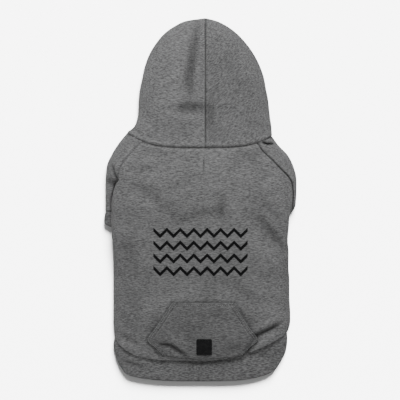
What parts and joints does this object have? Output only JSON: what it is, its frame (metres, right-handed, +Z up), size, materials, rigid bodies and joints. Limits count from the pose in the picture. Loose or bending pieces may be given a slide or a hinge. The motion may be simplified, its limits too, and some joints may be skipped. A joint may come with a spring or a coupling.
{
  "type": "dog hoodie",
  "caption": "Hooded fleece pullover for a medium dog, laid flat back up, with raglan sleeves, rib cuffs and hem, a pouch pocket, a leash slit and printed zigzag rows.",
  "frame": {"origin": "under the middle of the whole hoodie, on the surface it lies on", "axes": "+Y from the hem to the hood's crown, +Z up through the dog's back, +X to the right seen from above"},
  "size_m": [0.289, 0.5422, 0.0264],
  "materials": {
    "fleece": "matte heather knit",
    "rib": "matte rib knit",
    "label_rubber": "satin",
    "print": "matte print"
  },
  "bodies": {
    "root": {"back_panel": "fleece", "belly_panel": "fleece", "left_sleeve": "fleece", "right_sleeve": "fleece", "left_cuff": "rib", "right_cuff": "rib", "hood_left": "fleece", "hood_right": "fleece", "hem_band": "rib", "pocket": "fleece", "label": "label_rubber", "zigzag_row_1": "print", "zigzag_row_2": "print", "zigzag_row_3": "print", "zigzag_row_4": "print"}
  },
  "joints": []
}
